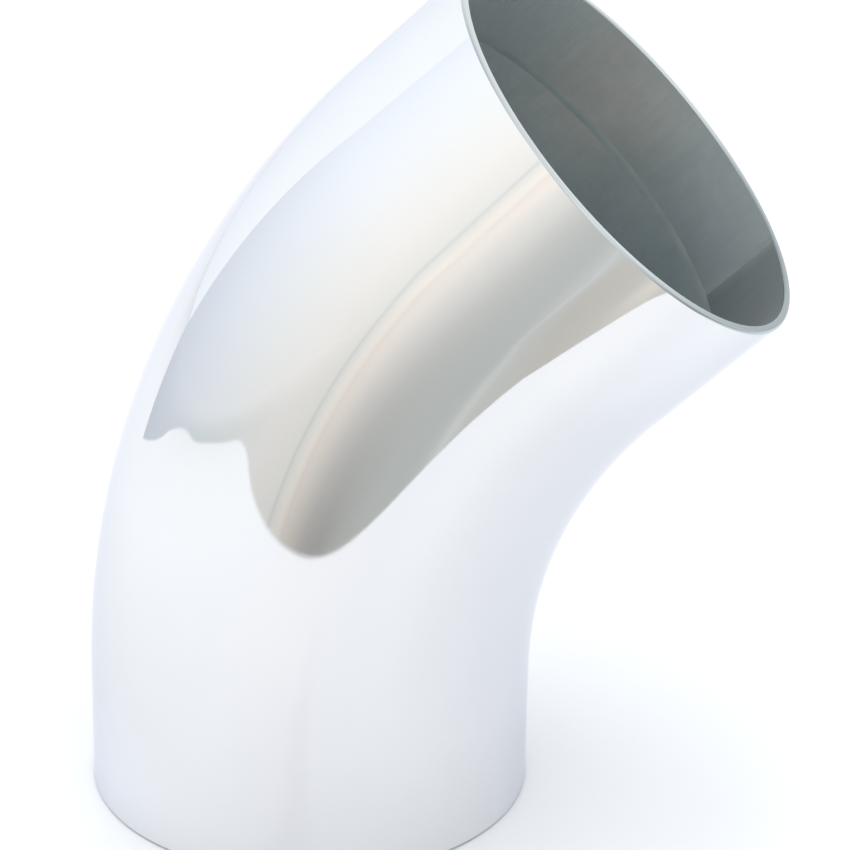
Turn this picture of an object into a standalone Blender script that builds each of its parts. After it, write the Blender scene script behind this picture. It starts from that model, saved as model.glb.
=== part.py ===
"""A 45 degree flue elbow in polished stainless steel tube, as its welded pieces.

The bend is two pressed half shells that meet in the plane of the bend. A short rolled collar is
welded to each end of it, and every collar is closed by its own lengthwise seam. All the beads are
solids of their own, ground flush outside and left with a low rounded root inside.

The origin is the centre of the lower end. The tube rises along +Z, bends towards +X and leaves
upwards along the middle of +X and +Z. The plane of the bend is Y = 0.
"""

import math

import bmesh
import bpy
from mathutils import Matrix, Vector

# Tube, in metres.
OUTER_RADIUS = 0.0508
WALL = 0.0020
INNER_RADIUS = OUTER_RADIUS - WALL
RIM_CHAMFER = 0.0003

# Centreline: a straight stub, the bend, and a straight stub. The collars end both stubs.
BEND_RADIUS = 3.0 * OUTER_RADIUS
BEND_ANGLE = math.radians(45.0)
SHELL_STUB = 0.0140
LOWER_COLLAR_LENGTH = 0.0144
UPPER_COLLAR_LENGTH = 0.0214
BEND_START = LOWER_COLLAR_LENGTH + SHELL_STUB
BEND_END = BEND_START + BEND_RADIUS * BEND_ANGLE
TOTAL_LENGTH = BEND_END + SHELL_STUB + UPPER_COLLAR_LENGTH
LOWER_JOINT = LOWER_COLLAR_LENGTH
UPPER_JOINT = TOTAL_LENGTH - UPPER_COLLAR_LENGTH

# V joints: the plate edges stand back from the joint's middle, further outside than at the root.
# A bead fills the V but for a small clearance to each plate.
CLEARANCE = 0.0003
BEAD_FACE_HALF_WIDTH = 0.0015
BEAD_ROOT_HALF_WIDTH = 0.0009
BEAD_ROOT_HEIGHT = 0.0006
PLATE_FACE_SETBACK = BEAD_FACE_HALF_WIDTH + CLEARANCE
PLATE_ROOT_SETBACK = BEAD_ROOT_HALF_WIDTH + CLEARANCE

# Angles round the tube, from the throat of the bend towards +Y.
THROAT = 0.0
BACK = math.pi
FULL_TURN = 2.0 * math.pi
UPPER_COLLAR_SEAM = math.radians(33.0)
LOWER_COLLAR_SEAM = math.radians(213.0)

# Facets.
SEGMENTS_ROUND = 60
BEND_STEPS = 15
BEAD_POINTS = 4

# Materials: colour, roughness and how far the face shading may turn before an edge is sharp.
POLISHED_STEEL = ("polished_stainless", (0.80, 0.81, 0.82, 1.0), 0.06)
WELD_STEEL = ("weld_stainless", (0.66, 0.65, 0.63, 1.0), 0.22)
SMOOTH_BELOW = math.radians(30.0)


def station(distance):
    """Frame at a distance along the centreline: X towards the throat, Y across, Z along the tube."""
    turned = min(max((distance - BEND_START) / BEND_RADIUS, 0.0), BEND_ANGLE)
    turn = Matrix.Rotation(turned, 4, "Y")
    centre = Vector((BEND_RADIUS, 0.0, BEND_START))
    on_arc = centre - turn @ Vector((BEND_RADIUS, 0.0, 0.0))
    straight = distance - BEND_START - BEND_RADIUS * turned
    return Matrix.Translation(on_arc) @ turn @ Matrix.Translation((0.0, 0.0, straight))


def tube_point(distance, radius, angle):
    """Point of the tube at a distance along it, a radius from its centreline and an angle round it."""
    across = Vector((radius * math.cos(angle), radius * math.sin(angle), 0.0))
    return station(distance) @ across


def setback(radius):
    """How far a plate's edge stands back from the middle of its joint, at a radius in the wall."""
    share = max(radius - INNER_RADIUS, 0.0) / WALL
    return PLATE_ROOT_SETBACK + share * (PLATE_FACE_SETBACK - PLATE_ROOT_SETBACK)


def shares(count):
    """Even steps from 0 to 1, both included."""
    return [step / (count - 1) for step in range(count)]


def plate_outline(first_seam, last_seam, segments):
    """Section of a plate between two lengthwise seams: (radius, angle), outside then back inside."""

    def arc(radius):
        lip = setback(radius) / radius
        span = last_seam - first_seam - 2.0 * lip
        return [(radius, first_seam + lip + share * span) for share in shares(segments + 1)]

    return arc(OUTER_RADIUS) + arc(INNER_RADIUS)[::-1]


def bead_outline():
    """Section of a bead: (offset from its middle, radius), flush outside and crowned at the root."""
    face = [((2.0 * share - 1.0) * BEAD_FACE_HALF_WIDTH, OUTER_RADIUS) for share in shares(BEAD_POINTS)]
    root = []
    for share in shares(BEAD_POINTS):
        offset = (1.0 - 2.0 * share) * BEAD_ROOT_HALF_WIDTH
        crown = BEAD_ROOT_HEIGHT * math.sin(math.pi * share)
        root.append((offset, INNER_RADIUS - crown))
    return face + root


def seam_outline(seam):
    """Section of a bead that runs lengthwise: (radius, angle)."""
    return [(radius, seam + offset / radius) for offset, radius in bead_outline()]


def between_joints(outline):
    """Loops of a section swept from the lower joint to the upper one, with its ends set back."""
    bend = [BEND_START + (BEND_END - BEND_START) * share for share in shares(BEND_STEPS + 1)]
    lower = [tube_point(LOWER_JOINT + setback(radius), radius, angle) for radius, angle in outline]
    upper = [tube_point(UPPER_JOINT - setback(radius), radius, angle) for radius, angle in outline]
    swept = [[tube_point(distance, radius, angle) for radius, angle in outline] for distance in bend]
    return [lower] + swept + [upper]


def rim_to_joint(outline, rim, joint):
    """Loops of a section swept from an open end, whose edges are chamfered, to a joint."""
    inwards = math.copysign(1.0, joint - rim)
    smallest = INNER_RADIUS + RIM_CHAMFER
    largest = OUTER_RADIUS - RIM_CHAMFER
    face = [tube_point(rim, min(max(radius, smallest), largest), angle) for radius, angle in outline]
    shoulder = rim + inwards * RIM_CHAMFER
    body = [tube_point(shoulder, radius, angle) for radius, angle in outline]
    edge = [tube_point(joint - inwards * setback(radius), radius, angle) for radius, angle in outline]
    return [face, body, edge]


def round_joint(joint):
    """Loops of a bead that runs round the tube at a joint."""
    loops = []
    for step in range(SEGMENTS_ROUND):
        angle = FULL_TURN * step / SEGMENTS_ROUND
        loops.append([tube_point(joint + offset, radius, angle) for offset, radius in bead_outline()])
    return loops


def steel(look):
    """Material of one of the two finishes."""
    name, colour, roughness = look
    material = bpy.data.materials.get(name) or bpy.data.materials.new(name)
    material.use_nodes = True
    shader = material.node_tree.nodes["Principled BSDF"]
    shader.inputs["Base Color"].default_value = colour
    shader.inputs["Metallic"].default_value = 1.0
    shader.inputs["Roughness"].default_value = roughness
    material.diffuse_color = colour
    return material


def loft(name, loops, look, ring=False):
    """Solid through successive loops: a closed ring, or a bar with a cap across each end loop.

    The first half of a loop runs along the outside of the wall and the second half back along the
    inside, so a cap joins each outside point to the inside point under it.
    """
    bm = bmesh.new()
    rows = [[bm.verts.new(point) for point in loop] for loop in loops]
    size = len(rows[0])
    following = rows[1:] + rows[:1] if ring else rows[1:]
    for row, above in zip(rows, following):
        for i in range(size):
            j = (i + 1) % size
            bm.faces.new((row[i], row[j], above[j], above[i]))
    if not ring:
        for row in (rows[0], rows[-1]):
            for i in range(size // 2 - 1):
                bm.faces.new((row[i], row[i + 1], row[size - 2 - i], row[size - 1 - i]))
    bmesh.ops.recalc_face_normals(bm, faces=bm.faces)
    mesh = bpy.data.meshes.new(name)
    bm.to_mesh(mesh)
    bm.free()
    mesh.materials.append(steel(look))
    mesh.shade_smooth()
    mesh.set_sharp_from_angle(angle=SMOOTH_BELOW)
    piece = bpy.data.objects.new(name, mesh)
    bpy.context.collection.objects.link(piece)
    return piece


def make_bend():
    """The two half shells and the two lengthwise beads between them."""
    half = SEGMENTS_ROUND // 2
    left = plate_outline(THROAT, BACK, half)
    right = plate_outline(BACK, THROAT + FULL_TURN, half)
    loft("left_half_shell", between_joints(left), POLISHED_STEEL)
    loft("right_half_shell", between_joints(right), POLISHED_STEEL)
    loft("back_seam_weld", between_joints(seam_outline(BACK)), WELD_STEEL)
    loft("throat_seam_weld", between_joints(seam_outline(THROAT)), WELD_STEEL)


def make_collar(end, rim, joint, seam):
    """A rolled collar, the bead that closes it and the bead that joins it to the bend."""
    rolled = plate_outline(seam, seam + FULL_TURN, SEGMENTS_ROUND)
    loft(f"{end}_collar", rim_to_joint(rolled, rim, joint), POLISHED_STEEL)
    loft(f"{end}_collar_seam_weld", rim_to_joint(seam_outline(seam), rim, joint), WELD_STEEL)
    loft(f"{end}_girth_weld", round_joint(joint), WELD_STEEL, ring=True)


def main():
    for thing in list(bpy.data.objects):
        bpy.data.objects.remove(thing, do_unlink=True)
    make_bend()
    make_collar("lower", 0.0, LOWER_JOINT, LOWER_COLLAR_SEAM)
    make_collar("upper", TOTAL_LENGTH, UPPER_JOINT, UPPER_COLLAR_SEAM)


main()
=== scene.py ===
"""Looks of the flue elbow: mirror-polished tube, dull inside, on a white sheet in soft light.

Every CAD node gets one finely meshed piece of the same name plus "_finish". The pieces follow the
same tube as the CAD: it rises along +Z from the origin, bends towards +X in the plane Y = 0 and
ends at an open mouth. Positions on it are given as a distance along the centreline, a radius from
it and an angle round it, from the throat of the bend towards +Y.
"""

import math

import bpy
import numpy as np
from mathutils import Matrix, Vector


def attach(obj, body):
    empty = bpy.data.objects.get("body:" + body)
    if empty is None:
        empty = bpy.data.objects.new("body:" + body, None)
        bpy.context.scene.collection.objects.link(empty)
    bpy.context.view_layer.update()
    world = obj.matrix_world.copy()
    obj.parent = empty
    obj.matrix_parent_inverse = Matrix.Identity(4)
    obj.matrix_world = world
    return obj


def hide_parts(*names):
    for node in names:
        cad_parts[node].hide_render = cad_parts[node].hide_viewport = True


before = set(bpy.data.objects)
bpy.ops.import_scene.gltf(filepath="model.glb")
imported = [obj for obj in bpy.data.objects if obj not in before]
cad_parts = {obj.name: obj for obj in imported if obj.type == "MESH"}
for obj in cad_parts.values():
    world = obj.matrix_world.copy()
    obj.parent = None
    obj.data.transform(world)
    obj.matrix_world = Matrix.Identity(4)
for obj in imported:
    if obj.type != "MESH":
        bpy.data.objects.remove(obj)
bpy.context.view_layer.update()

# Tube, in metres.
OUTER_RADIUS = 0.0508
WALL = 0.0020
INNER_RADIUS = OUTER_RADIUS - WALL
OUTER_ROUND = 0.00062
INNER_ROUND = 0.00040
BEND_RADIUS = 3.0 * OUTER_RADIUS
BEND_ANGLE = math.radians(45.0)
SHELL_STUB = 0.0140
LOWER_JOINT = 0.0144
UPPER_COLLAR_LENGTH = 0.0214
BEND_START = LOWER_JOINT + SHELL_STUB
BEND_END = BEND_START + BEND_RADIUS * BEND_ANGLE
UPPER_JOINT = BEND_END + SHELL_STUB
TOTAL_LENGTH = UPPER_JOINT + UPPER_COLLAR_LENGTH

# Beads: flush outside, crowned at the root, where the crown laps a little way over both plates.
FACE_HALF_WIDTH = 0.0015
ROOT_HALF_WIDTH = 0.0009
CROWN_HALF_WIDTH = 0.0014
CROWN_HEIGHT = 0.00004
CROWN_SINK = 0.00002
CROWN_RUN_OUT = 0.0025
CROWN_START_HALF_WIDTH = 0.97 * ROOT_HALF_WIDTH
RIM_PROUD = 0.000002
RIPPLE_PITCH = 0.0013
RIPPLE_DEPTH = 0.000015
RIPPLE_SWEEP = 0.0009
# Slow swells of the crown: share of its height, radians for a metre of bead, and phase.
CROWN_SWELLS = ((0.10, 310.0, 0.0), (0.06, 1170.0, 1.3))

# Angles round the tube.
THROAT = 0.0
BACK = math.pi
FULL_TURN = 2.0 * math.pi
UPPER_COLLAR_SEAM = math.radians(33.0)
LOWER_COLLAR_SEAM = math.radians(213.0)

# Mesh steps.
AROUND_STEP = math.radians(1.5)
ALONG_STEP = 0.0022
RIPPLE_STEP = 0.00032
CROWN_POINTS = 11
FACE_POINTS = CROWN_POINTS + 2
ROUND_STEPS = 5
GIRTH_STEPS_PER_RIPPLE = 4

# Kinds of surface, which are also the order of a piece's materials: CUT is an open end and its
# rounding, and JOINT is a face inside a V.
OUTSIDE, INSIDE, CUT, ROOT, JOINT = range(5)


# --------------------------------------------------------------------------- the tube


def bend_turn(distance):
    """How far the centreline has turned at a distance along it."""
    return np.clip((distance - BEND_START) / BEND_RADIUS, 0.0, BEND_ANGLE)


def tube_points(distance, radius, angle):
    """Points of the tube, from arrays of the same shape."""
    turn = bend_turn(distance)
    straight = distance - BEND_START - BEND_RADIUS * turn
    arm = BEND_RADIUS - radius * np.cos(angle)
    x = BEND_RADIUS - arm * np.cos(turn) + straight * np.sin(turn)
    z = BEND_START + arm * np.sin(turn) + straight * np.cos(turn)
    return np.stack([x, radius * np.sin(angle), z], axis=-1)


def tube_normals(distance, angle):
    """Directions straight out from the centreline."""
    turn = bend_turn(distance)
    inward = np.cos(angle)
    return np.stack([inward * np.cos(turn), np.sin(angle), -inward * np.sin(turn)], axis=-1)


def steps(start, end, pitch):
    """Even steps from start to end, both included, no longer than pitch."""
    return np.linspace(start, end, max(2, 1 + math.ceil(abs(end - start) / pitch)))


# --------------------------------------------------------------------------- sections


def setback(radius):
    """How far a plate's edge stands from the middle of its joint, at a radius in the wall."""
    share = np.clip((radius - INNER_RADIUS) / WALL, 0.0, 1.0)
    return ROOT_HALF_WIDTH + share * (FACE_HALF_WIDTH - ROOT_HALF_WIDTH)


def plate_section(first_seam, last_seam):
    """Radius, angle and kind round the section of a plate that lies between two seams."""
    count = len(steps(first_seam, last_seam, AROUND_STEP))
    arcs = []
    for radius in (OUTER_RADIUS, INNER_RADIUS):
        lip = float(setback(radius)) / radius
        arcs.append((np.full(count, radius), np.linspace(first_seam + lip, last_seam - lip, count)))
    (outer, outer_angle), (inner, inner_angle) = arcs
    kinds = [OUTSIDE] * (count - 1) + [JOINT] + [INSIDE] * (count - 1) + [JOINT]
    return np.concatenate([outer, inner]), np.concatenate([outer_angle, inner_angle[::-1]]), kinds


def bead_section():
    """Offset, radius, share of the crown's height and kind round the section of a bead."""
    face = np.linspace(-FACE_HALF_WIDTH, FACE_HALF_WIDTH, FACE_POINTS)
    across = np.linspace(1.0, -1.0, CROWN_POINTS)
    lift = 1.0 - across**2
    floor = INNER_RADIUS + CROWN_SINK
    offset = np.concatenate([face, [ROOT_HALF_WIDTH], CROWN_HALF_WIDTH * across, [-ROOT_HALF_WIDTH]])
    radius = np.concatenate([np.full(FACE_POINTS, OUTER_RADIUS), np.full(CROWN_POINTS + 2, floor)])
    share = np.concatenate([np.zeros(FACE_POINTS + 1), lift, [0.0]])
    kinds = [OUTSIDE] * (FACE_POINTS - 1) + [JOINT] * 2 + [ROOT] * (CROWN_POINTS - 1) + [JOINT] * 2
    return offset, radius, share, kinds


def rippled(radius, share, offset, along):
    """Radius of a bead's section with its crown raised and rippled in curved scallops."""
    bow = RIPPLE_SWEEP * (offset / CROWN_HALF_WIDTH) ** 2
    phase = FULL_TURN * (along + bow) / RIPPLE_PITCH
    scallop = RIPPLE_DEPTH * (np.abs(np.sin(phase / 2.0)) - 0.5)
    swell = 1.0 + sum(size * np.sin(along * rate + lag) for size, rate, lag in CROWN_SWELLS)
    return radius - share * (CROWN_HEIGHT * swell + scallop)


# --------------------------------------------------------------------------- meshes


def blend_normals(points, faces, kinds):
    """Mean face normal at each corner, over the faces of its own kind that share the point."""
    a, b, c, d = (points[faces[:, i]] for i in range(4))
    flat = np.cross(c - a, d - b)
    total = np.zeros((len(points), JOINT + 1, 3))
    for corner in range(4):
        np.add.at(total, (faces[:, corner], kinds), flat)
    length = np.linalg.norm(total, axis=2, keepdims=True)
    total /= np.where(length > 0.0, length, 1.0)
    return total[faces, kinds[:, None]]


def corner_normals(points, faces, kinds, outward):
    """The tube's own normals on its outside and inside, and blended ones elsewhere."""
    normals = blend_normals(points, faces, kinds)
    for kind, sign in ((OUTSIDE, 1.0), (INSIDE, -1.0)):
        chosen = kinds == kind
        normals[chosen] = sign * outward[faces[chosen]]
    return normals


def grid_faces(rows, columns, kinds, ring):
    """Faces of a piece's grid and their kinds: its sides and, unless it is a ring, two caps."""
    index = np.arange(rows * columns).reshape(rows, columns)
    following = np.roll(index, -1, axis=0) if ring else index[1:]
    first = index if ring else index[:-1]
    sides = np.stack([first, np.roll(first, -1, 1), np.roll(following, -1, 1), following], -1)
    faces = [sides.reshape(-1, 4)]
    face_kinds = [np.broadcast_to(kinds, sides.shape[:2]).reshape(-1)]
    if not ring:
        half = columns // 2
        across = np.arange(half - 1)
        for row, flip in ((index[0], True), (index[-1], False)):
            cap = np.stack([row[across], row[across + 1], row[-2 - across], row[-1 - across]], -1)
            faces.append(cap[:, ::-1] if flip else cap)
            face_kinds.append(np.full(half - 1, CUT))
    return np.concatenate(faces), np.concatenate(face_kinds)


def facing_out(points, faces):
    """The faces, all turned over if the volume that they close is negative."""
    a, b, c, d = (points[faces[:, i]] for i in range(4))
    volume = np.einsum("ij,ij->", a, np.cross(b, c)) + np.einsum("ij,ij->", a, np.cross(c, d))
    return faces[:, ::-1] if volume < 0.0 else faces


def build(node, distance, radius, angle, kinds, looks, ring=False):
    """A closed piece from a grid of tube positions: rows along it, columns round its section."""
    points = tube_points(distance, radius, angle).reshape(-1, 3)
    faces, face_kinds = grid_faces(*distance.shape, kinds, ring)
    faces = facing_out(points, faces)
    outward = tube_normals(distance, angle).reshape(-1, 3)
    normals = corner_normals(points, faces, face_kinds, outward)

    name = node + "_finish"
    mesh = bpy.data.meshes.new(name)
    mesh.from_pydata(points.tolist(), [], faces.tolist())
    mesh.polygons.foreach_set("material_index", face_kinds.astype(np.int32))
    mesh.shade_smooth()
    straightened = np.stack([radius * np.cos(angle), radius * np.sin(angle), distance], -1)
    attribute = mesh.attributes.new("tube", "FLOAT_VECTOR", "POINT")
    attribute.data.foreach_set("vector", straightened.astype(np.float32).ravel())
    mesh.normals_split_custom_set(normals.reshape(-1, 3).tolist())
    for look in looks:
        mesh.materials.append(look)
    piece = bpy.data.objects.new(name, mesh)
    bpy.context.scene.collection.objects.link(piece)
    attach(piece, "root")
    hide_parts(node)
    return piece


def half_shell(node, first_seam, last_seam, looks):
    """One pressed half of the bend, with a stub at each end."""
    radius, angle, kinds = plate_section(first_seam, last_seam)
    along = np.concatenate([
        steps(LOWER_JOINT, BEND_START, ALONG_STEP)[:-1],
        steps(BEND_START, BEND_END, ALONG_STEP)[:-1],
        steps(BEND_END, UPPER_JOINT, ALONG_STEP),
    ])
    distance = np.repeat(along[:, None], len(radius), axis=1)
    distance[0] += setback(radius)
    distance[-1] -= setback(radius)
    shape = distance.shape
    radii = np.broadcast_to(radius, shape)
    return build(node, distance, radii, np.broadcast_to(angle, shape), kinds, looks)


def rim_rows(radius, rim, joint, pitch):
    """Distances and radii of a section swept from a rounded open end to its joint."""
    inwards = math.copysign(1.0, joint - rim)
    outer = radius > INNER_RADIUS + WALL / 2.0
    rounding = np.where(outer, OUTER_ROUND, INNER_ROUND)
    distance, radii = [], []
    for share in np.linspace(0.0, 1.0, ROUND_STEPS):
        sweep = share * math.pi / 2.0
        cut = rounding * (1.0 - math.sin(sweep))
        distance.append(rim + inwards * rounding * (1.0 - math.cos(sweep)))
        radii.append(np.where(outer, OUTER_RADIUS - cut, INNER_RADIUS + cut - RIM_PROUD))
    start = rim + inwards * OUTER_ROUND
    for place in steps(start, joint - inwards * FACE_HALF_WIDTH, pitch)[1:-1]:
        distance.append(np.full(len(radius), place))
        radii.append(radius)
    distance.append(joint - inwards * setback(radius))
    radii.append(radius)
    return np.array(distance), np.array(radii)


def with_cut_end(kinds, rows):
    """Kinds of a section for each row, with the rounding of an open end in the first rows."""
    grid = np.tile(kinds, (rows, 1))
    rounding = grid[: ROUND_STEPS - 1]
    rounding[rounding != JOINT] = CUT
    return grid


def collar(node, rim, joint, seam, looks):
    """A rolled ring between an open end and its joint, split at its own seam."""
    radius, angle, kinds = plate_section(seam, seam + FULL_TURN)
    distance, radii = rim_rows(radius, rim, joint, ALONG_STEP)
    grid = with_cut_end(kinds, len(distance) - 1)
    return build(node, distance, radii, np.broadcast_to(angle, distance.shape), grid, looks)


def long_bead(node, distance, radius, seam, looks, open_end):
    """A bead that runs lengthwise. distance and radius have a row for each step.

    Its crown rises and widens from the V of an open end, and stays in the V where a joint ends it.
    """
    offset, nominal, share, kinds = bead_section()
    from_end = np.minimum(distance, TOTAL_LENGTH - distance)
    grown = np.clip((from_end - OUTER_ROUND) / CROWN_RUN_OUT, 0.0, 1.0)
    grown[0] = 0.0
    grown[-1] = 0.0
    in_crown = np.abs(nominal - INNER_RADIUS - CROWN_SINK) < CROWN_SINK / 2.0
    in_crown[[FACE_POINTS, -1]] = False
    narrow = CROWN_START_HALF_WIDTH / CROWN_HALF_WIDTH
    place = offset * np.where(in_crown, narrow + (1.0 - narrow) * grown, 1.0)
    crowned = rippled(radius, share * grown, offset, distance)
    grid = with_cut_end(kinds, len(distance) - 1) if open_end else kinds
    return build(node, distance, crowned, seam + place / nominal, grid, looks)


def bend_bead(node, seam, looks):
    """The bead between the two half shells, along the back or the throat."""
    _, radius, _, _ = bead_section()
    along = steps(LOWER_JOINT, UPPER_JOINT, RIPPLE_STEP)
    distance = np.repeat(along[:, None], len(radius), axis=1)
    distance = np.clip(distance, LOWER_JOINT + setback(radius), UPPER_JOINT - setback(radius))
    radii = np.broadcast_to(radius, distance.shape)
    return long_bead(node, distance, radii, seam, looks, open_end=False)


def collar_bead(node, rim, joint, seam, looks):
    """The bead that closes a collar."""
    _, radius, _, _ = bead_section()
    distance, radii = rim_rows(radius, rim, joint, RIPPLE_STEP)
    return long_bead(node, distance, radii, seam, looks, open_end=True)


def girth_bead(node, joint, looks):
    """The bead between a collar and the bend, right round the tube."""
    offset, radius, share, kinds = bead_section()
    ripples = FULL_TURN * INNER_RADIUS / RIPPLE_PITCH
    count = math.ceil(ripples) * GIRTH_STEPS_PER_RIPPLE
    around = np.arange(count) * FULL_TURN / count
    along = around[:, None] / FULL_TURN * round(ripples) * RIPPLE_PITCH
    angle = np.repeat(around[:, None], len(offset), axis=1)
    radii = rippled(radius, share, offset, along)
    distance = np.broadcast_to(joint + offset, angle.shape)
    return build(node, distance, radii, angle, kinds, looks, ring=True)


# --------------------------------------------------------------------------- node graphs


class Graph:
    """A material's or a world's node tree, built by short calls that return output sockets."""

    def __init__(self, tree):
        self.tree = tree
        self.tree.nodes.clear()

    def add(self, kind, inputs=None, **settings):
        """Adds a node. inputs maps a socket's name or number to a value or to another socket."""
        node = self.tree.nodes.new(kind)
        for key, value in settings.items():
            setattr(node, key, value)
        for key, value in (inputs or {}).items():
            if isinstance(value, bpy.types.NodeSocket):
                self.tree.links.new(value, node.inputs[key])
            else:
                node.inputs[key].default_value = value
        return node

    def math(self, operation, first, second=0.0, third=0.0):
        inputs = {0: first, 1: second, 2: third}
        return self.add("ShaderNodeMath", inputs, operation=operation).outputs[0]

    def parts(self, vector):
        """The three parts of a vector or a colour."""
        return self.add("ShaderNodeSeparateXYZ", {0: vector}).outputs

    def position(self):
        """Where the shaded point is."""
        return self.add("ShaderNodeNewGeometry").outputs["Position"]

    def noise(self, vector, scale, detail, roughness):
        inputs = {"Vector": vector, "Scale": scale, "Detail": detail, "Roughness": roughness}
        return self.add("ShaderNodeTexNoise", inputs).outputs["Fac"]

    def scaled(self, vector, scale):
        return self.add("ShaderNodeMapping", {"Vector": vector, "Scale": scale}).outputs[0]

    def spread(self, value, low, high, to_low=0.0, to_high=1.0, smooth=False):
        """value from the range low to high, brought to the range to_low to to_high."""
        inputs = {"Value": value, "From Min": low, "From Max": high, "To Min": to_low, "To Max": to_high}
        shape = "SMOOTHSTEP" if smooth else "LINEAR"
        return self.add("ShaderNodeMapRange", inputs, interpolation_type=shape).outputs["Result"]

    def near(self, position, centre, reach, core=0.0):
        """1 up to a core's distance from a centre, falling smoothly to 0 at its reach."""
        away = self.add("ShaderNodeVectorMath", {0: position, 1: centre}, operation="DISTANCE")
        return self.spread(away.outputs["Value"], reach, core, smooth=True)

    def ramp(self, value, stops):
        """Colour and alpha from a value, by stops of a place, a colour and perhaps an alpha."""
        node = self.add("ShaderNodeValToRGB", {"Fac": value})
        elements = node.color_ramp.elements
        while len(elements) < len(stops):
            elements.new(0.5)
        for element, (place, colour, *alpha) in zip(elements, stops):
            element.position = place
            element.color = (*colour, *(alpha or [1.0]))
        return node.outputs

    def mix(self, share, first, second, blend="MIX"):
        node = self.add("ShaderNodeMix", data_type="RGBA", blend_type=blend)
        for socket, value in ((0, share), (6, first), (7, second)):
            if isinstance(value, bpy.types.NodeSocket):
                self.tree.links.new(value, node.inputs[socket])
            elif socket:
                node.inputs[socket].default_value = (*value, 1.0)
            else:
                node.inputs[socket].default_value = value
        return node.outputs[2]

    def tinted(self, colour, factor, share):
        """A colour that is multiplied by a factor colour to some share."""
        return self.mix(share, colour, factor, blend="MULTIPLY")

    def toned(self, colour, level):
        """A colour times a single level."""
        grey = self.add("ShaderNodeCombineXYZ", {0: level, 1: level, 2: level}).outputs[0]
        return self.tinted(colour, grey, 1.0)

    def bump(self, height, distance, strength=1.0, normal=None):
        inputs = {"Height": height, "Distance": distance, "Strength": strength}
        if normal is not None:
            inputs["Normal"] = normal
        return self.add("ShaderNodeBump", inputs).outputs["Normal"]

    def finish(self, shader, output="ShaderNodeOutputMaterial"):
        self.add(output, {"Surface": shader})


def new_material(name):
    """A material with an empty node tree, and its graph."""
    material = bpy.data.materials.new(name)
    material.use_nodes = True
    return material, Graph(material.node_tree)


def tube_coordinates(graph):
    """Positions as if the tube were straight: across it in X and Y, along it in Z."""
    return graph.add("ShaderNodeAttribute", attribute_name="tube").outputs["Vector"]


# --------------------------------------------------------------------------- steel


WHITE = (1.0, 1.0, 1.0, 1.0)

# The polish: its colour and where it is clouded, its tint at grazing angles, dust on it, what
# clouds, marks and dust add to its roughness, and the height of its marks in metres. Its marks are
# wheel marks round the tube and wipe marks along it, in shares that add up to one.
POLISH_COLOUR = (0.800, 0.810, 0.822)
POLISH_CLOUDED = tuple(0.985 * part for part in POLISH_COLOUR)
POLISH_EDGE = (0.87, 0.88, 0.925, 1.0)
DUST_COLOUR = (0.30, 0.30, 0.31)
CLOUD_HAZE = 0.020
MARK_HAZE = 0.014
DUST_HAZE = 0.30
MARK_HEIGHT = 0.0000010
WHEEL_SHARE = 0.6
WIPE_SHARE = 0.4
# Dust: the cells of its scattering in a metre, the share of them that have a speck, and the size
# and the soft edge of a speck in cells.
DUST_CELLS = 75.0
DUSTY_CELLS = 0.12
DUST_SIZE = 0.030
DUST_EDGE = 0.012
# The polish over the plates and over the beads: its least roughness and its waves' height.
PLATE_POLISH = (0.018, 0.0000030)
BEAD_POLISH = (0.026, 0.0000040)


def steel_shader(graph, colour, rough, normal, edge=WHITE):
    """Bare metal from its colour, roughness and normal."""
    shader = graph.add("ShaderNodeBsdfPrincipled", {
        "Base Color": colour,
        "Metallic": 1.0,
        "Roughness": rough,
        "Specular Tint": edge,
        "Normal": normal,
    })
    graph.finish(shader.outputs[0])


def dust_specks(graph, tube):
    """A few specks of dust, as the roughness that they add."""
    cell = graph.add("ShaderNodeTexVoronoi", {"Vector": tube, "Scale": DUST_CELLS}).outputs
    size = graph.spread(graph.parts(cell["Color"])[0], 0.0, DUSTY_CELLS, DUST_SIZE, 0.0)
    inside = graph.math("SUBTRACT", size, cell["Distance"])
    return graph.spread(inside, 0.0, DUST_EDGE, 0.0, DUST_HAZE, smooth=True)


def polished(name, haze, waviness):
    """Mirror-polished stainless steel: faint haze, fine wheel marks, slow waves, a few specks."""
    material, graph = new_material(name)
    tube = tube_coordinates(graph)
    clouds = graph.spread(graph.noise(tube, scale=38.0, detail=4.0, roughness=0.6), 0.35, 0.70)
    wheel = graph.noise(graph.scaled(tube, (1.0, 1.0, 60.0)), scale=90.0, detail=3.0, roughness=0.7)
    wipe = graph.noise(graph.scaled(tube, (40.0, 40.0, 1.0)), scale=60.0, detail=2.0, roughness=0.6)
    marks = graph.math("MULTIPLY", wheel, WHEEL_SHARE)
    marks = graph.math("ADD", marks, graph.math("MULTIPLY", wipe, WIPE_SHARE))
    dust = dust_specks(graph, tube)
    rough = graph.math("MULTIPLY_ADD", clouds, CLOUD_HAZE, haze)
    rough = graph.math("MULTIPLY_ADD", marks, MARK_HAZE, rough)
    rough = graph.math("ADD", rough, dust)
    waves = graph.bump(graph.noise(tube, scale=16.0, detail=1.0, roughness=0.4), waviness)
    tone = graph.mix(clouds, POLISH_COLOUR, POLISH_CLOUDED)
    tone = graph.mix(dust, tone, DUST_COLOUR)
    steel_shader(graph, tone, rough, graph.bump(marks, MARK_HEIGHT, normal=waves), POLISH_EDGE)
    return material


# The mill finish of each kind of sheet: its light and dark mottle, and its stain.
BEND_TONES = ((0.605, 0.658, 0.664), (0.513, 0.566, 0.577), (0.594, 0.588, 0.572))
COLLAR_TONES = ((0.558, 0.609, 0.614), (0.479, 0.524, 0.532), (0.558, 0.546, 0.53))
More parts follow.
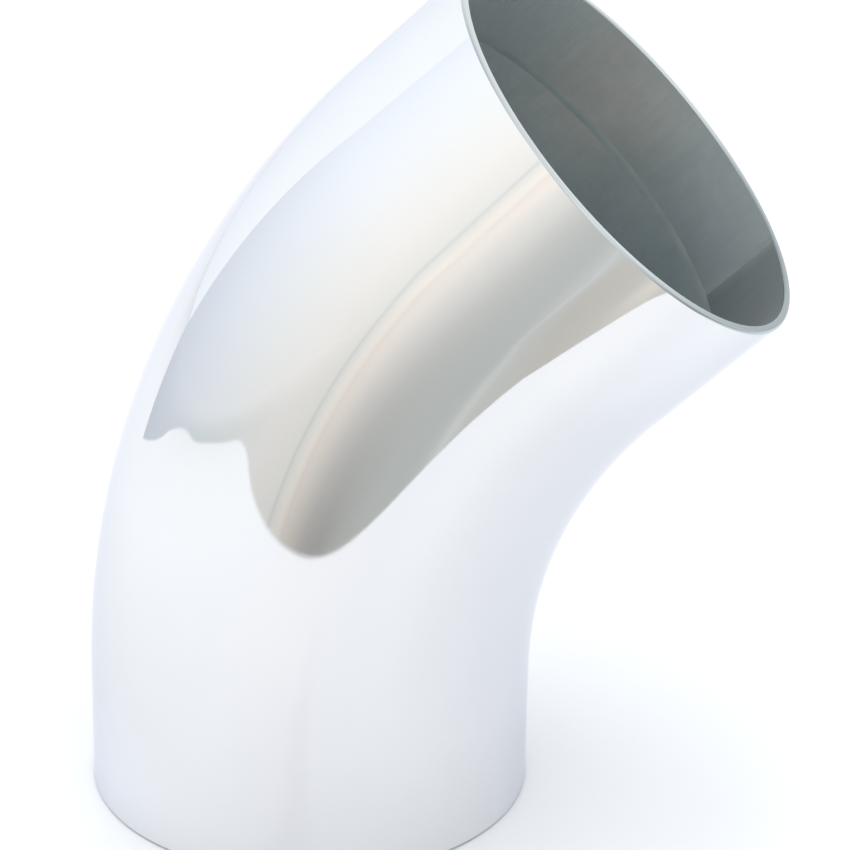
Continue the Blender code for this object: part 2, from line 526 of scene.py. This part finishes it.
# How far the stain covers, how the drawn lines vary the tone and add to the roughness, and the
# roughness of its dark and of its light mottle.
STAIN_SHARE = 0.6
LINE_TONES = (0.95, 1.03)
LINE_ROUGHNESS = 0.05
MOTTLE_ROUGHNESS = (0.64, 0.54)
# Heights of the mottle, the drawn lines and the grain in metres.
MOTTLE_HEIGHT = 0.00010
LINE_HEIGHT = 0.00001
GRAIN_HEIGHT = 0.00001

# Places inside the tube painted darker or warmer, in its straightened coordinates: where each is, how
# far it reaches, and its factor. Two are darker and one is warmer. Each is even over its core.
TONE_PLACES = (
    ((0.0210, 0.0440, UPPER_JOINT - 0.008), 0.030, (0.820, 0.845, 0.855)),
    ((0.0400, 0.0280, UPPER_JOINT - 0.006), 0.024, (0.840, 0.860, 0.870)),
    ((-0.0030, 0.0487, TOTAL_LENGTH - 0.015), 0.026, (1.090, 1.000, 0.965)),
)
PLACE_CORE = 0.2

# Inside a collar the colour is darker by a factor just below its seam. Going round, in
# radians, that sets in over SEAM_SETS_IN, from SEAM_START of its strength, and has faded out from
# SEAM_STRENGTH when it comes to SEAM_FADED.
SEAM_SHADE = (0.61, 0.64, 0.66)
SEAM_SETS_IN = 0.09
SEAM_START = 0.5
SEAM_STRENGTH = 0.85
SEAM_FADED = 2.4


def below_seam(graph, tube, seam):
    """How much of the shade below a seam shows."""
    across = graph.parts(tube)
    past = graph.math("SUBTRACT", seam, graph.math("ARCTAN2", across[1], across[0]))
    past = graph.math("WRAP", past, FULL_TURN, 0.0)
    fading = graph.spread(past, 0.0, SEAM_FADED, SEAM_STRENGTH, 0.0)
    setting_in = graph.spread(past, 0.0, SEAM_SETS_IN, SEAM_START, 1.0, smooth=True)
    return graph.math("MULTIPLY", fading, setting_in)


def mill_finish(name, tones, seam=None):
    """Unpolished stainless steel inside the tube: mottled, faintly stained, with drawn lines."""
    light, dark, stain = tones
    material, graph = new_material(name)
    tube = tube_coordinates(graph)
    mottle = graph.noise(tube, scale=75.0, detail=5.0, roughness=0.62)
    blotch = graph.noise(graph.scaled(tube, (1.0, 1.0, 0.6)), scale=26.0, detail=3.0, roughness=0.5)
    drawn = graph.noise(graph.scaled(tube, (30.0, 30.0, 1.0)), scale=55.0, detail=3.0, roughness=0.7)
    grain = graph.noise(tube, scale=2400.0, detail=2.0, roughness=0.6)
    tone = graph.mix(graph.spread(mottle, 0.34, 0.68), dark, light)
    tone = graph.mix(graph.spread(blotch, 0.50, 0.72, 0.0, STAIN_SHARE), tone, stain)
    tone = graph.toned(tone, graph.spread(drawn, 0.3, 0.7, *LINE_TONES))
    for place, reach, factor in TONE_PLACES:
        tone = graph.tinted(tone, factor, graph.near(tube, place, reach, PLACE_CORE * reach))
    if seam is not None:
        tone = graph.tinted(tone, SEAM_SHADE, below_seam(graph, tube, seam))
    rough = graph.spread(mottle, 0.3, 0.7, *MOTTLE_ROUGHNESS)
    rough = graph.math("MULTIPLY_ADD", drawn, LINE_ROUGHNESS, rough)
    soft = graph.bump(mottle, MOTTLE_HEIGHT, 0.5)
    scored = graph.bump(drawn, LINE_HEIGHT, 0.5, normal=soft)
    steel_shader(graph, tone, rough, graph.bump(grain, GRAIN_HEIGHT, 0.5, normal=scored))
    return material


# The cut end: each tone varies between two colours from ring to ring. The painted shade towards the
# throat is lighter at the outer corner, whose polish starts at a depth in from the outside.
EDGE_BRIGHT = ((0.52, 0.55, 0.56), (0.58, 0.61, 0.62))
EDGE_THROAT_SHADE = ((0.255, 0.290, 0.300), (0.285, 0.320, 0.330))
EDGE_CORNER = (0.48, 0.55, 0.57)
CORNER_POLISH_DEPTH = 0.00025
CORNER_ROUGHNESS_SHARE = 0.45
EDGE_ROUGHNESS = 0.16
RING_ROUGHNESS = 0.06
RING_HEIGHT = 0.000004
# The noise that makes the rings runs fast across them and drifts slowly along them.
RING_STRETCH = 60.0
RING_DRIFT = (0.6, 0.6, 0.6)
# Where the painted shade takes over towards the throat, as X in the straightened tube.
THROAT_START = 0.15 * OUTER_RADIUS
THROAT_END = 0.85 * OUTER_RADIUS


def ground_edge(name):
    """The square-cut end: ground in fine rings, its outer corner polished, with painted shade at the throat.
    """
    material, graph = new_material(name)
    tube = tube_coordinates(graph)
    across = graph.parts(tube)
    flat = graph.add("ShaderNodeCombineXYZ", {0: across[0], 1: across[1]}).outputs[0]
    radius = graph.add("ShaderNodeVectorMath", {0: flat}, operation="LENGTH").outputs["Value"]
    ring = graph.add("ShaderNodeCombineXYZ", {0: graph.math("MULTIPLY", radius, RING_STRETCH)}).outputs[0]
    drift = {0: ring, 1: graph.scaled(tube, RING_DRIFT)}
    drift = graph.add("ShaderNodeVectorMath", drift, operation="ADD").outputs[0]
    rings = graph.spread(graph.noise(drift, scale=190.0, detail=3.0, roughness=0.7), 0.3, 0.7)
    throat = graph.spread(across[0], THROAT_START, THROAT_END, smooth=True)
    polish_start = OUTER_RADIUS - CORNER_POLISH_DEPTH
    corner = graph.spread(radius, OUTER_RADIUS - OUTER_ROUND, polish_start, smooth=True)
    # Painted shade: the cut end is darker towards the throat.
    dull = graph.mix(corner, graph.mix(rings, *EDGE_THROAT_SHADE), EDGE_CORNER)
    tone = graph.mix(throat, graph.mix(rings, *EDGE_BRIGHT), dull)
    rough = graph.math("MULTIPLY_ADD", rings, RING_ROUGHNESS, EDGE_ROUGHNESS)
    smoother = graph.spread(corner, 0.0, 1.0, 1.0, CORNER_ROUGHNESS_SHARE)
    rough = graph.math("MULTIPLY", rough, smoother)
    steel_shader(graph, tone, rough, graph.bump(rings, RING_HEIGHT, 0.6))
    return material


ROOT_ROUGHNESS = (0.56, 0.62)
ROOT_TONES = (
    (0.0, (0.478, 0.523, 0.528)),
    (0.45, (0.497, 0.544, 0.549)),
    (0.75, (0.511, 0.555, 0.558)),
    (1.0, (0.520, 0.567, 0.572)),
)


def root_bead(name):
    """Weld metal at the root, softly mottled. Its scallops are in the mesh."""
    material, graph = new_material(name)
    tube = tube_coordinates(graph)
    mottle = graph.spread(graph.noise(tube, scale=260.0, detail=3.0, roughness=0.6), 0.3, 0.7)
    grain = graph.noise(tube, scale=3000.0, detail=2.0, roughness=0.6)
    tone = graph.ramp(mottle, ROOT_TONES)["Color"]
    rough = graph.spread(mottle, 0.0, 1.0, *ROOT_ROUGHNESS)
    steel_shader(graph, tone, rough, graph.bump(grain, GRAIN_HEIGHT, 0.5))
    return material


# --------------------------------------------------------------------------- the elbow


def make_elbow():
    """Every piece, named after its CAD node, whose part it hides."""
    outside = polished("mirror_polish", *PLATE_POLISH)
    flush = polished("mirror_polish_over_weld", *BEAD_POLISH)
    edge = ground_edge("ground_edge")
    root = root_bead("weld_root")
    pressed = mill_finish("mill_finish_bend", BEND_TONES)
    rolled = mill_finish("mill_finish_collar", COLLAR_TONES, UPPER_COLLAR_SEAM)
    bend_looks = (outside, pressed, edge, root, edge)
    collar_looks = (outside, rolled, edge, root, edge)
    bead_looks = (flush, pressed, edge, root, edge)

    plates = [
        half_shell("left_half_shell", THROAT, BACK, bend_looks),
        half_shell("right_half_shell", BACK, THROAT + FULL_TURN, bend_looks),
        collar("lower_collar", 0.0, LOWER_JOINT, LOWER_COLLAR_SEAM, collar_looks),
        collar("upper_collar", TOTAL_LENGTH, UPPER_JOINT, UPPER_COLLAR_SEAM, collar_looks),
    ]
    beads = [
        bend_bead("back_seam_weld", BACK, bead_looks),
        bend_bead("throat_seam_weld", THROAT, bead_looks),
        collar_bead("lower_collar_seam_weld", 0.0, LOWER_JOINT, LOWER_COLLAR_SEAM, bead_looks),
        collar_bead("upper_collar_seam_weld", TOTAL_LENGTH, UPPER_JOINT, UPPER_COLLAR_SEAM, bead_looks),
        girth_bead("lower_girth_weld", LOWER_JOINT, bead_looks),
        girth_bead("upper_girth_weld", UPPER_JOINT, bead_looks),
    ]


# --------------------------------------------------------------------------- the surroundings


# Where the white sheet turns, from the right round its front to its curled left end and back.
SHEET_TURNS = (
    (1.30, 1.70), (0.60, 0.60), (0.40, 0.20), (0.30, -0.03), (0.157, -0.104), (0.140, -0.130),
    (0.116, -0.141), (0.085, -0.1485), (0.037, -0.1715), (-0.05, -0.221), (-0.25, -0.322),
    (-0.54, -0.456), (-0.72, -0.488), (-0.80, -0.440), (-0.91, -0.350), (-0.955, -0.253),
    (-1.125, -0.10), (-0.967, 0.035), (-0.70, 0.105), (-0.47, 0.183),
)
SHEET_STEPS = 6
# The far edge of the room's floor, which lies a hair above the sheet's own plane.
ROOM_FLOOR_EDGE = (
    (-2.62, 1.45), (-3.0, 0.0), (-2.2, -2.2), (0.0, -3.1), (2.2, -2.2), (3.0, 0.0), (2.5, 1.7),
)
ROOM_FLOOR_LIFT = 0.0003

# The X of the point that bearings and distances in the room are taken from.
ROOM_PIVOT = 0.05
# The room's floor gets brighter with the logarithm of its distance from the pivot. Where the tints
# below darken it, it is darkest nearer than DARK_REACH, and DARK_FALL says how fast that wears off.
FLOOR_RISE = 0.097
FLOOR_LEVEL = 0.84
DARK_REACH = 0.22
DARK_FALL = 6.0
DARK_MOST = 1.08

# A pale streak on it runs straight from the sheet, and steps aside in X between two places in Y.
# It fades in between two more. On its right the floor is beige.
STREAK_STEP = (-0.215, -0.255)
STREAK_PLACES = (0.074, 0.097)
STREAK_FADE = (-0.36, -0.20)
STREAK_HALF_WIDTH = 0.0058
STREAK_GAIN = 0.10
BEIGE_FACTOR = (0.92, 0.862, 0.830)
BEIGE_BESIDE = (-0.004, 0.026)

# Patches of painted light and shade on the room's floor and on the sheet: where each is, how far it
# reaches, and its factor. They lift or deepen the shade round the object and by the sheet's edge, and
# one adds warm bounced light.
ROOM_FLOOR_LIGHT_AND_SHADE = (
    ((-0.95, -0.30), 0.7, (0.89, 0.92, 0.91)),
    ((0.138, -0.152), 0.024, (1.15, 1.15, 1.12)),
)
SHEET_LIGHT_AND_SHADE = (
    ((0.145, 0.0), 0.13, (1.09, 1.09, 1.11)),
    ((0.01, -0.08), 0.07, (0.95, 0.94, 0.945)),
    ((-0.05, -0.02), 0.05, (1.05, 1.06, 1.08)),
    ((-0.01, -0.18), 0.12, (1.03, 1.005, 1.005)),
    ((0.12, -0.115), 0.07, (1.08, 1.07, 1.06)),
)

# Walls and ceiling, which glow. An arc is a first bearing, a last one and a step, in degrees. A
# lean is in degrees for a metre of height, and for a square metre. The sweep's tints are by height,
# as a share of SWEEP_TOP. The ceiling hides the lamp above it from the mirror finish.
CARD_GAIN = 1.25
ROOM_HEIGHT = 1.9
WALL_ROWS = 9
ROOM_RADIUS = 2.5
ROOM_ARC = (-118.0, 126.0, 3.0)
ROOM_LEAN = (7.0, 2.2)
ROOM_LEVEL = 0.915
ROOM_RISE = 0.21
SWEEP_RADIUS = 2.7
SWEEP_ARC = (0.0, 361.0, 4.0)
SWEEP_LEAN = (0.0, 0.0)
SWEEP_TOP = 1.2
SWEEP_TINTS = (
    (0.0, (0.885, 0.920, 0.955)),
    (0.28, (0.905, 0.940, 0.970)),
    (0.48, (0.925, 0.955, 0.980)),
    (0.80, (0.935, 0.965, 0.985)),
    (1.0, (0.94, 0.97, 0.985)),
)
CEILING_HEIGHT = 1.8
CEILING_COLOUR = (0.925, 0.940, 0.955)
CEILING_PATCH = ((-0.9, 0.0), 1.8, (0.70, 0.73, 0.76))
RING_STEPS = 64

# The room by degrees from -Y towards +X: its colour as the steel shows it, and how much darker
# the floor is close to the sheet.
ROOM_TINTS = (
    (-111.0, (0.715, 0.755, 0.822), 0.00),
    (-81.0, (0.772, 0.802, 0.842), 0.00),
    (-57.0, (0.840, 0.840, 0.823), 0.00),
    (-45.0, (0.888, 0.863, 0.831), 0.00),
    (-33.6, (0.872, 0.855, 0.812), 0.02),
    (-32.7, (0.745, 0.750, 0.715), 0.04),
    (-31.8, (0.860, 0.850, 0.805), 0.06),
    (-28.5, (1.015, 0.957, 0.875), 0.16),
    (-27.3, (0.940, 0.860, 0.785), 0.22),
    (-26.4, (0.975, 0.907, 0.825), 0.26),
    (-24.5, (0.992, 0.928, 0.855), 0.34),
    (-19.0, (0.920, 0.890, 0.850), 0.44),
    (-14.5, (0.865, 0.855, 0.820), 0.41),
    (-9.0, (0.765, 0.775, 0.740), 0.23),
    (-3.0, (0.695, 0.715, 0.695), 0.08),
    (4.0, (0.685, 0.720, 0.695), 0.03),
    (9.0, (0.775, 0.795, 0.765), 0.00),
    (21.0, (0.865, 0.895, 0.860), 0.00),
    (33.0, (0.990, 1.025, 0.985), 0.00),
    (55.0, (0.800, 0.820, 0.815), 0.00),
    (85.0, (0.600, 0.620, 0.630), 0.00),
    (125.0, (0.860, 0.880, 0.890), 0.00),
)


def reflected_only(thing):
    """The camera, the floor and the shadows don't see it: it shows in the steel alone."""
    thing.visible_camera = False
    thing.visible_diffuse = False
    thing.visible_shadow = False


def card(name, points, faces, tint):
    """A glowing card. tint makes the socket of its colour, from its graph and its position."""
    mesh = bpy.data.meshes.new(name)
    mesh.from_pydata(points, [], faces)
    thing = bpy.data.objects.new(name, mesh)
    bpy.context.scene.collection.objects.link(thing)
    reflected_only(thing)
    material, graph = new_material(name)
    colour = tint(graph, graph.position())
    glow = graph.add("ShaderNodeEmission", {"Color": colour, "Strength": CARD_GAIN})
    graph.finish(glow.outputs[0])
    mesh.materials.append(material)


def patched(graph, tone, place, patches, height=0.0):
    """A colour times the factor of each patch, at a height."""
    for centre, reach, factor in patches:
        tone = graph.tinted(tone, factor, graph.near(place, (*centre, height), reach))
    return tone


def room_tint(graph, parts):
    """Colour and darkening of the room by bearing, and the distance from its pivot."""
    east = graph.math("SUBTRACT", parts[0], ROOM_PIVOT)
    south = graph.math("MULTIPLY", parts[1], -1.0)
    bearing = graph.math("MULTIPLY", graph.math("ARCTAN2", east, south), math.degrees(1.0))
    first, last = ROOM_TINTS[0][0], ROOM_TINTS[-1][0]
    stops = [((degrees - first) / (last - first), *rest) for degrees, *rest in ROOM_TINTS]
    ramp = graph.ramp(graph.spread(bearing, first, last), stops)
    squares = graph.math("ADD", graph.math("MULTIPLY", east, east), graph.math("MULTIPLY", south, south))
    return ramp["Color"], ramp["Alpha"], graph.math("SQRT", squares)


def room_floor_level(graph, darkening, distance):
    """Brightness of the room's floor: rising outwards, and less close to the sheet."""
    level = graph.math("LOGARITHM", distance, math.e)
    level = graph.math("MULTIPLY_ADD", level, FLOOR_RISE, FLOOR_LEVEL)
    near = graph.math("MULTIPLY", graph.math("SUBTRACT", DARK_REACH, distance), DARK_FALL)
    near = graph.math("MINIMUM", graph.math("EXPONENT", near), DARK_MOST)
    darker = graph.math("MULTIPLY_ADD", graph.math("MULTIPLY", near, -1.0), darkening, 1.0)
    return graph.math("MULTIPLY", level, darker)


def room_floor_colour(graph, place):
    """Darker near the sheet, with a pale streak that steps aside and a beige place on its right."""
    parts = graph.parts(place)
    tint, darkening, distance = room_tint(graph, parts)
    level = room_floor_level(graph, darkening, distance)
    streak = graph.spread(parts[1], *STREAK_STEP, *STREAK_PLACES, smooth=True)
    side = graph.math("SUBTRACT", parts[0], streak)
    fading = graph.spread(parts[1], *STREAK_FADE)
    hump = graph.spread(graph.math("ABSOLUTE", side), STREAK_HALF_WIDTH, 0.0, smooth=True)
    paler = graph.math("MULTIPLY_ADD", graph.math("MULTIPLY", hump, STREAK_GAIN), fading, 1.0)
    beige = graph.math("MULTIPLY", graph.spread(side, *BEIGE_BESIDE, smooth=True), fading)
    tint = graph.tinted(tint, BEIGE_FACTOR, beige)
    # Painted light and shade patches on the room's floor.
    tint = patched(graph, tint, place, ROOM_FLOOR_LIGHT_AND_SHADE)
    return graph.toned(tint, graph.math("MULTIPLY", level, paler))


def room_wall_colour(graph, place):
    """The room's tints, brighter upwards."""
    parts = graph.parts(place)
    tint, _, _ = room_tint(graph, parts)
    return graph.toned(tint, graph.math("MULTIPLY_ADD", parts[2], ROOM_RISE, ROOM_LEVEL))


def sweep_colour(graph, place):
    """The white paper behind the object, palest at the top."""
    return graph.ramp(graph.spread(graph.parts(place)[2], 0.0, SWEEP_TOP), SWEEP_TINTS)["Color"]


def ceiling_colour(graph, place):
    """As pale as the surround, and greyer over the back of the bend, which gives its top form."""
    return patched(graph, CEILING_COLOUR, place, [CEILING_PATCH], CEILING_HEIGHT)


def smooth_path(turns, count):
    """A smooth curve through turns, with count steps from each to the next."""
    path = [Vector(turn) for turn in turns]
    runs = [end - start for start, end in zip(path, path[1:])]
    headings = [run.normalized() for run in runs]
    slopes = [(before + after).normalized() for before, after in zip(headings, headings[1:])]
    slopes = [headings[0], *slopes, headings[-1]]
    points = []
    for start, run, leaving, arriving in zip(path, runs, slopes, slopes[1:]):
        for step in range(count):
            t = step / count
            bend = leaving * (t - 2.0 * t**2 + t**3) + arriving * (t**3 - t**2)
            points.append(start + run * (3.0 * t**2 - 2.0 * t**3) + bend * run.length)
    return points + [path[-1]]


def room_floor():
    """The darker floor beyond the sheet, which the lower half of the steel reflects."""
    edge = [tuple(point) for point in smooth_path(SHEET_TURNS, SHEET_STEPS)]
    outline = [(x, y, ROOM_FLOOR_LIFT) for x, y in edge + list(ROOM_FLOOR_EDGE)]
    card("room_floor", outline, [tuple(range(len(outline)))], room_floor_colour)


def curved_wall(name, radius, arc, lean, tint):
    """A card round the object, as tall as the room, whose left edge leans in."""
    turns = np.radians(np.arange(*arc))
    heights = np.linspace(0.0, ROOM_HEIGHT, WALL_ROWS)
    points = []
    for level in heights:
        drawn_in = math.radians(lean[0] * level + lean[1] * level * level)
        for turn in turns:
            eased = turn + drawn_in * (turns[-1] - turn) / (turns[-1] - turns[0])
            points.append((radius * math.sin(eased), -radius * math.cos(eased), level))
    columns = len(turns)
    faces = []
    for row in range(WALL_ROWS - 1):
        for column in range(columns - 1):
            i = row * columns + column
            faces.append((i, i + 1, i + 1 + columns, i + columns))
    card(name, points, faces, tint)


def ring_of_points(radius, height):
    """Points of a level circle round the origin."""
    turns = [FULL_TURN * step / RING_STEPS for step in range(RING_STEPS)]
    return [(radius * math.cos(turn), radius * math.sin(turn), height) for turn in turns]


def make_surroundings():
    """What the steel reflects: floor beyond the sheet, room, white paper behind and a ceiling."""
    room_floor()
    curved_wall("room_wall", ROOM_RADIUS, ROOM_ARC, ROOM_LEAN, room_wall_colour)
    curved_wall("paper_sweep", SWEEP_RADIUS, SWEEP_ARC, SWEEP_LEAN, sweep_colour)
    ceiling = ring_of_points(SWEEP_RADIUS, CEILING_HEIGHT)
    card("ceiling", ceiling, [tuple(range(RING_STEPS))], ceiling_colour)


# --------------------------------------------------------------------------- the studio


SHEET_RADIUS = 8.0
# The sheet has painted contact shade round the object, paler from one distance from its centre to another.
SHEET_CONTACT_SHADE = (0.845, 0.855, 0.875)
SHEET_FAR = (0.90, 0.905, 0.915)
SHEET_CENTRE = (-0.03, -0.03, 0.0)
SHEET_PALER = (0.07, 0.32)
# It darkens a little towards the front left, between two distances in that direction.
FRONT_LEFT = (-0.8, -0.6)
FRONT_LEFT_PLACES = (0.20, 1.0)
FRONT_LEFT_LEVEL = 0.90
# A soft painted shadow strip on it runs from the object towards the front: its crosswise
# direction, how far to the side of the origin it passes, and the places in Y between which it fades in.
SHADOW_STRIP_ACROSS = (0.979, 0.205)
SHADOW_STRIP_OFFSET = -0.004
SHADOW_STRIP_HALF_WIDTH = 0.013
SHADOW_STRIP_FADE = (-0.17, -0.10)
SHADOW_STRIP_FACTOR = (0.962, 0.962, 0.966)
PAPER_GRAIN_HEIGHT = 0.00005
PAPER_ROUGHNESS = 0.85
PAPER_GLOSS = 0.1


def along_direction(graph, parts, direction):
    """How far a place is along a level direction."""
    return graph.math("MULTIPLY_ADD", parts[0], direction[0], graph.math("MULTIPLY", parts[1], direction[1]))


def sheet_colour(graph, place):
    """White, with painted contact shade, patches of painted light and shade, and a painted shadow strip,
    which the steel's lower half reflects.
    """
    parts = graph.parts(place)
    # Painted contact shade: greyer round the object.
    near = graph.near(place, SHEET_CENTRE, SHEET_PALER[1], SHEET_PALER[0])
    tone = graph.mix(near, SHEET_FAR, SHEET_CONTACT_SHADE)
    # Painted light and shade patches on the sheet.
    tone = patched(graph, tone, place, SHEET_LIGHT_AND_SHADE)
    forward = along_direction(graph, parts, FRONT_LEFT)
    tone = graph.toned(tone, graph.spread(forward, *FRONT_LEFT_PLACES, 1.0, FRONT_LEFT_LEVEL))
    # Painted shadow strip towards the front.
    beside = graph.math("SUBTRACT", along_direction(graph, parts, SHADOW_STRIP_ACROSS), SHADOW_STRIP_OFFSET)
    strip_middle = graph.spread(graph.math("ABSOLUTE", beside), SHADOW_STRIP_HALF_WIDTH, 0.0, smooth=True)
    shadow_strip = graph.math("MULTIPLY", strip_middle, graph.spread(parts[1], *SHADOW_STRIP_FADE, smooth=True))
    return graph.tinted(tone, SHADOW_STRIP_FACTOR, shadow_strip)


def make_floor():
    """The white sheet, as a plain floor with a trace of paper grain."""
    mesh = bpy.data.meshes.new("floor")
    mesh.from_pydata(ring_of_points(SHEET_RADIUS, 0.0), [], [tuple(range(RING_STEPS))])
    floor = bpy.data.objects.new("floor", mesh)
    bpy.context.scene.collection.objects.link(floor)
    material, graph = new_material("white_sheet")
    place = graph.position()
    grain = graph.noise(place, scale=700.0, detail=3.0, roughness=0.6)
    shader = graph.add("ShaderNodeBsdfPrincipled", {
        "Base Color": sheet_colour(graph, place),
        "Roughness": PAPER_ROUGHNESS,
        "Specular IOR Level": PAPER_GLOSS,
        "Normal": graph.bump(grain, PAPER_GRAIN_HEIGHT, 0.3),
    })
    graph.finish(shader.outputs[0])
    mesh.materials.append(material)


SURROUND_COLOUR = (0.98, 0.99, 1.0, 1.0)
SURROUND_STRENGTH = 1.16
LAMP_DIAMETER = 1.4
LAMP_WATTS = 6.5
LAMP_PLACE = Vector((-0.4, 0.0, 2.0))
LAMP_TARGET = Vector((0.03, 0.0, 0.08))


def make_light():
    """An even white surround and one large soft lamp overhead."""
    world = bpy.data.worlds.new("studio")
    world.use_nodes = True
    bpy.context.scene.world = world
    graph = Graph(world.node_tree)
    surround = {"Color": SURROUND_COLOUR, "Strength": SURROUND_STRENGTH}
    background = graph.add("ShaderNodeBackground", surround)
    graph.finish(background.outputs[0], "ShaderNodeOutputWorld")
    lamp = bpy.data.lights.new("overhead_softbox", "AREA")
    lamp.shape = "DISK"
    lamp.size = LAMP_DIAMETER
    lamp.energy = LAMP_WATTS
    box = bpy.data.objects.new("overhead_softbox", lamp)
    box.location = LAMP_PLACE
    box.rotation_mode = "QUATERNION"
    box.rotation_quaternion = (LAMP_PLACE - LAMP_TARGET).to_track_quat("Z", "Y")
    bpy.context.scene.collection.objects.link(box)


CAMERA_AZIMUTH = math.radians(11.806)
CAMERA_ELEVATION = math.radians(23.567)
CAMERA_ROLL = math.radians(1.113)
CAMERA_DISTANCE = 0.72632
CAMERA_TARGET = Vector((0.02617, 0.0, 0.09028))
CAMERA_LENS = 137.5
SENSOR_WIDTH = 36.0
CAMERA_CLIP = (0.01, 50.0)


def make_camera():
    """The camera: a long lens from the front, a little to the right and above."""
    data = bpy.data.cameras.new("camera")
    data.lens = CAMERA_LENS
    data.sensor_width = SENSOR_WIDTH
    data.clip_start, data.clip_end = CAMERA_CLIP
    camera = bpy.data.objects.new("camera", data)
    flat = math.cos(CAMERA_ELEVATION)
    right = flat * math.sin(CAMERA_AZIMUTH)
    front = flat * math.cos(CAMERA_AZIMUTH)
    back = Vector((right, -front, math.sin(CAMERA_ELEVATION)))
    look = back.to_track_quat("Z", "Y").to_matrix().to_4x4()
    place = Matrix.Translation(CAMERA_TARGET + CAMERA_DISTANCE * back)
    camera.matrix_world = place @ look @ Matrix.Rotation(CAMERA_ROLL, 4, "Z")
    bpy.context.scene.collection.objects.link(camera)
    bpy.context.scene.camera = camera


bpy.context.scene.view_settings.view_transform = "Standard"
make_camera()
make_floor()
make_light()
make_surroundings()
make_elbow()
